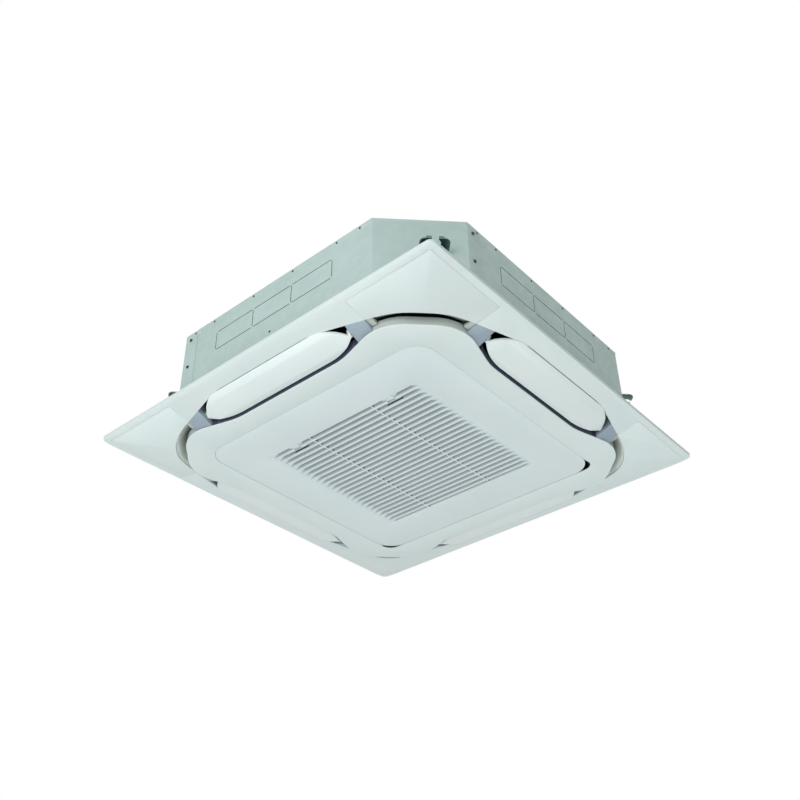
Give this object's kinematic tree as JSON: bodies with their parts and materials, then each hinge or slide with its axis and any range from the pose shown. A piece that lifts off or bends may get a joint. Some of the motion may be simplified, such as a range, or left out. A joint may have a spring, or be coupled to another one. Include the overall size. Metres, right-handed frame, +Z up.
{
  "type": "ceiling cassette air conditioner",
  "caption": "Recessed ceiling air conditioner with a slatted suction grille, swinging outlet flaps, casing, fan, coil, hangers and pipe connections.",
  "frame": {"origin": "centre of the panel, on the lowest plane of the closed suction grille", "axes": "+Z up into the ceiling void; +X towards the side with the pipes and the grille's hinge; +Y towards the drain socket's side"},
  "size_m": [0.95, 0.95, 0.256],
  "materials": {
    "panel_white": "moulded satin",
    "flap_white": "moulded satin",
    "liner_cream": "moulded matt",
    "bracket_grey": "moulded satin",
    "knob_white": "moulded satin",
    "galvanised_sheet": "zinc coated",
    "hanger_steel": "zinc coated",
    "zinc_screw": "zinc plated",
    "foam_dark": "closed-cell foam",
    "pan_foam": "expanded foam",
    "black_plastic": "moulded matt",
    "filter_net": "woven net",
    "duct_grey": "moulded matt",
    "float_white": "moulded matt",
    "rubber_mount": "matt",
    "fin_aluminium": "fine fins",
    "copper": "drawn tube"
  },
  "bodies": {
    "unit": {"outer_frame": "panel_white", "inner_frame": "panel_white", "outlet_seals": "foam_dark", "panel_gasket": "foam_dark", "panel_screws": "zinc_screw", "corner_cover_near_right": "panel_white", "corner_cover_far_right": "panel_white", "corner_cover_far_left": "panel_white", "corner_cover_near_left": "panel_white", "corner_liners": "liner_cream", "flap_brackets_front": "bracket_grey", "flap_brackets_right": "bracket_grey", "flap_brackets_rear": "bracket_grey", "flap_brackets_left": "bracket_grey", "swing_motor_front": "black_plastic", "swing_motor_right": "black_plastic", "swing_motor_rear": "black_plastic", "swing_motor_left": "black_plastic", "grille_hinge_pins": "zinc_screw", "casing_side_front": "galvanised_sheet", "casing_side_right": "galvanised_sheet", "casing_side_rear": "galvanised_sheet", "casing_side_left": "galvanised_sheet", "casing_top": "galvanised_sheet", "casing_screws": "zinc_screw", "insulation": "foam_dark", "top_insulation": "foam_dark", "drain_pan": "pan_foam", "bell_mouth": "duct_grey", "fan_motor": "black_plastic", "motor_mounts": "rubber_mount", "coil_fins": "fin_aluminium", "coil_end_plates": "galvanised_sheet", "return_bends": "copper", "switch_box": "galvanised_sheet", "switch_box_cover": "galvanised_sheet", "drain_pump": "duct_grey", "drain_socket": "duct_grey", "float_switch": "duct_grey", "gas_pipe": "copper", "liquid_pipe": "copper", "cable_grommet": "black_plastic", "hangers": "hanger_steel"},
    "grille": {"suction_grille": "panel_white", "filter_frame": "black_plastic", "filter_mesh": "filter_net"},
    "latch_front": {"latch_knob_front": "knob_white"},
    "latch_rear": {"latch_knob_rear": "knob_white"},
    "fan": {"turbo_fan": "duct_grey", "motor_shaft": "zinc_screw", "fan_nut": "zinc_screw"},
    "float": {"drain_float": "float_white"},
    "flap_front": {"flap_front": "flap_white"},
    "flap_right": {"flap_right": "flap_white"},
    "flap_rear": {"flap_rear": "flap_white"},
    "flap_left": {"flap_left": "flap_white"}
  },
  "joints": [
    {"name": "flap_front_swing", "type": "hinge", "parent": "unit", "child": "flap_front", "pos_m": [0, -0.393, 0.0236], "axis": [1, 0, 0], "range_deg": [0, 60]},
    {"name": "flap_right_swing", "type": "hinge", "parent": "unit", "child": "flap_right", "pos_m": [0.393, 0, 0.0236], "axis": [0, 1, 0], "range_deg": [0, 60]},
    {"name": "flap_rear_swing", "type": "hinge", "parent": "unit", "child": "flap_rear", "pos_m": [0, 0.393, 0.0236], "axis": [-1, 0, 0], "range_deg": [0, 60]},
    {"name": "flap_left_swing", "type": "hinge", "parent": "unit", "child": "flap_left", "pos_m": [-0.393, 0, 0.0236], "axis": [0, -1, 0], "range_deg": [0, 60]},
    {"name": "grille_hinge", "type": "hinge", "parent": "unit", "child": "grille", "pos_m": [0.3, 0, 0.007], "axis": [0, -1, 0], "range_deg": [0, 90]},
    {"name": "latch_front_slide", "type": "slide", "parent": "grille", "child": "latch_front", "axis": [1, 0, 0], "range_m": [0, 0.008], "stiffness_N_per_m": 400},
    {"name": "latch_rear_slide", "type": "slide", "parent": "grille", "child": "latch_rear", "axis": [1, 0, 0], "range_m": [0, 0.008], "stiffness_N_per_m": 400},
    {"name": "fan_spin", "type": "hinge", "parent": "unit", "child": "fan", "pos_m": [0, 0, 0.17], "axis": [0, 0, 1], "continuous": true},
    {"name": "float_lift", "type": "slide", "parent": "unit", "child": "float", "axis": [0, 0, 1], "range_m": [0, 0.012]}
  ]
}
